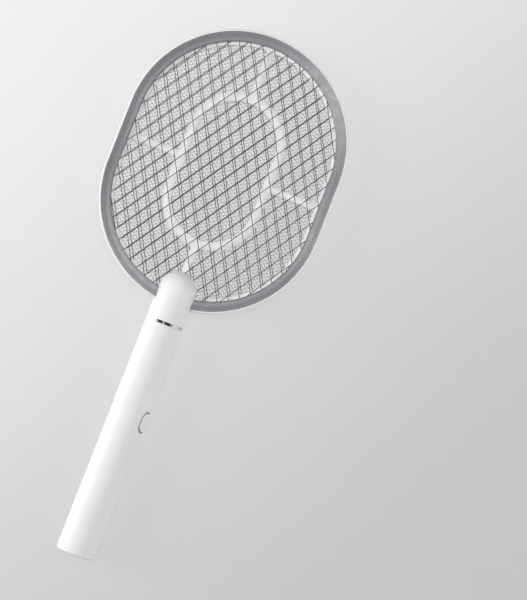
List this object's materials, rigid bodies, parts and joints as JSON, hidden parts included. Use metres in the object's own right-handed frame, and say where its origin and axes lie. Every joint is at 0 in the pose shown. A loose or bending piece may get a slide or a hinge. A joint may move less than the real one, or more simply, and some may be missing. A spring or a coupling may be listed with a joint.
{
  "type": "electric fly swatter",
  "caption": "Battery fly swatter with a round-ended oblong net head, wire guard nets over a fine electrode net, and a straight round handle with a domed end, side trigger and slide switch.",
  "frame": {"origin": "under the middle of the swatter's box, on the surface that it lies on, back down", "axes": "+Y along the handle from its base to the top of the head, +Z out of the front of the head, +X to the right seen from the front with the head up"},
  "size_m": [0.218, 0.5314, 0.038],
  "materials": {
    "white_shell": "satin",
    "white_button": "satin",
    "white_rib": "matte",
    "grey_bezel": "satin",
    "guard_wire": "satin",
    "electrode_wire": "satin",
    "screw_steel": "satin",
    "spring_steel": "satin",
    "contact_brass": "satin",
    "dark_lens": "gloss",
    "diffuser": "matte",
    "lamp": "gloss",
    "circuit_board": "satin",
    "chrome_trim": "polished",
    "black_plastic": "matte",
    "grey_knob": "satin",
    "ferrite": "matte",
    "copper_winding": "satin",
    "capacitor_case": "gloss",
    "resistor_body": "gloss",
    "battery_wrap": "gloss",
    "socket_steel": "satin",
    "lead_red": "satin",
    "lead_black": "satin"
  },
  "bodies": {
    "swatter": {"head_frame_front": "white_shell", "head_frame_rear": "white_shell", "rim_screws": "screw_steel", "bezel_ring_front": "grey_bezel", "bezel_ring_rear": "grey_bezel", "guard_net_front": "guard_wire", "guard_net_rear": "guard_wire", "high_voltage_net": "electrode_wire", "spacer_rib_front": "white_rib", "spacer_rib_rear": "white_rib", "net_contact_tab": "contact_brass", "guard_contact_front": "contact_brass", "guard_contact_rear": "contact_brass", "handle_shell_front": "white_shell", "handle_shell_rear": "white_shell", "handle_screws": "screw_steel", "end_cap": "white_shell", "indicator_lens": "dark_lens", "light_diffuser": "diffuser", "indicator_board": "circuit_board", "status_lamps": "lamp", "trigger_collar": "chrome_trim", "trigger_switch": "black_plastic", "trigger_spring": "spring_steel", "switch_stand": "black_plastic", "power_switch": "black_plastic", "main_board": "circuit_board", "transformer_core": "ferrite", "transformer_winding": "copper_winding", "high_voltage_capacitor": "capacitor_case", "rectifier_diodes": "black_plastic", "bleed_resistor": "resistor_body", "drive_transistor": "black_plastic", "charge_controller": "black_plastic", "battery_cell": "battery_wrap", "battery_cradle": "black_plastic", "battery_tabs": "spring_steel", "charging_socket": "socket_steel", "socket_tongue": "black_plastic", "charging_board": "circuit_board", "net_lead": "lead_red", "guard_lead_front": "lead_black", "guard_lead_rear": "lead_black", "battery_lead_positive": "lead_red", "battery_lead_negative": "lead_black", "charging_lead": "lead_red"},
    "trigger": {"trigger_button": "white_button", "switch_plunger": "black_plastic"},
    "power_slider": {"power_knob": "grey_knob"}
  },
  "joints": [
    {"name": "trigger_press", "type": "slide", "parent": "swatter", "child": "trigger", "axis": [-0.8829, 0, -0.4695], "range_m": [0, 0.0015], "stiffness_N_per_m": 900, "springref_m": -0.001, "deforming": ["trigger_spring"]},
    {"name": "power_slide", "type": "slide", "parent": "swatter", "child": "power_slider", "axis": [0, 1, 0], "range_m": [0, 0.004]}
  ]
}
